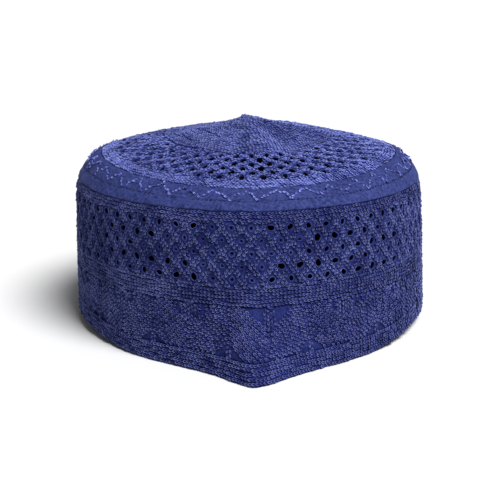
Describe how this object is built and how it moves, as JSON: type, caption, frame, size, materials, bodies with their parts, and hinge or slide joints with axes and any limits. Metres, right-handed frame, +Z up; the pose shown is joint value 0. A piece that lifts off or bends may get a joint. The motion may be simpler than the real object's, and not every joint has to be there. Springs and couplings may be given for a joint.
{
  "type": "prayer cap",
  "caption": "Soft round embroidered prayer cap with a low domed crown, pierced crown and side wall, creased front and a thick stitched hem.",
  "frame": {"origin": "middle of the bounding box in plan, on the plane that the rim rests on", "axes": "+Z up through the crown, -Y towards the creased front, +X to the right of someone facing the front"},
  "size_m": [0.1822, 0.221, 0.1021],
  "materials": {
    "hem_chain_stitch": "matte",
    "band_embroidery": "matte",
    "divider_chain_stitch": "matte",
    "side_eyelet_cloth": "matte",
    "top_border_chain_stitch": "matte",
    "tape_cloth": "satin",
    "crown_border_chain_stitch": "matte",
    "crown_eyelet_cloth": "matte",
    "disc_embroidery": "matte"
  },
  "bodies": {
    "root": {"hem_band": "hem_chain_stitch", "side_band": "band_embroidery", "side_divider": "divider_chain_stitch", "side_openwork": "side_eyelet_cloth", "side_top_border": "top_border_chain_stitch", "shoulder_tape": "tape_cloth", "crown_border": "crown_border_chain_stitch", "crown_openwork": "crown_eyelet_cloth", "crown_disc": "disc_embroidery"}
  },
  "joints": []
}
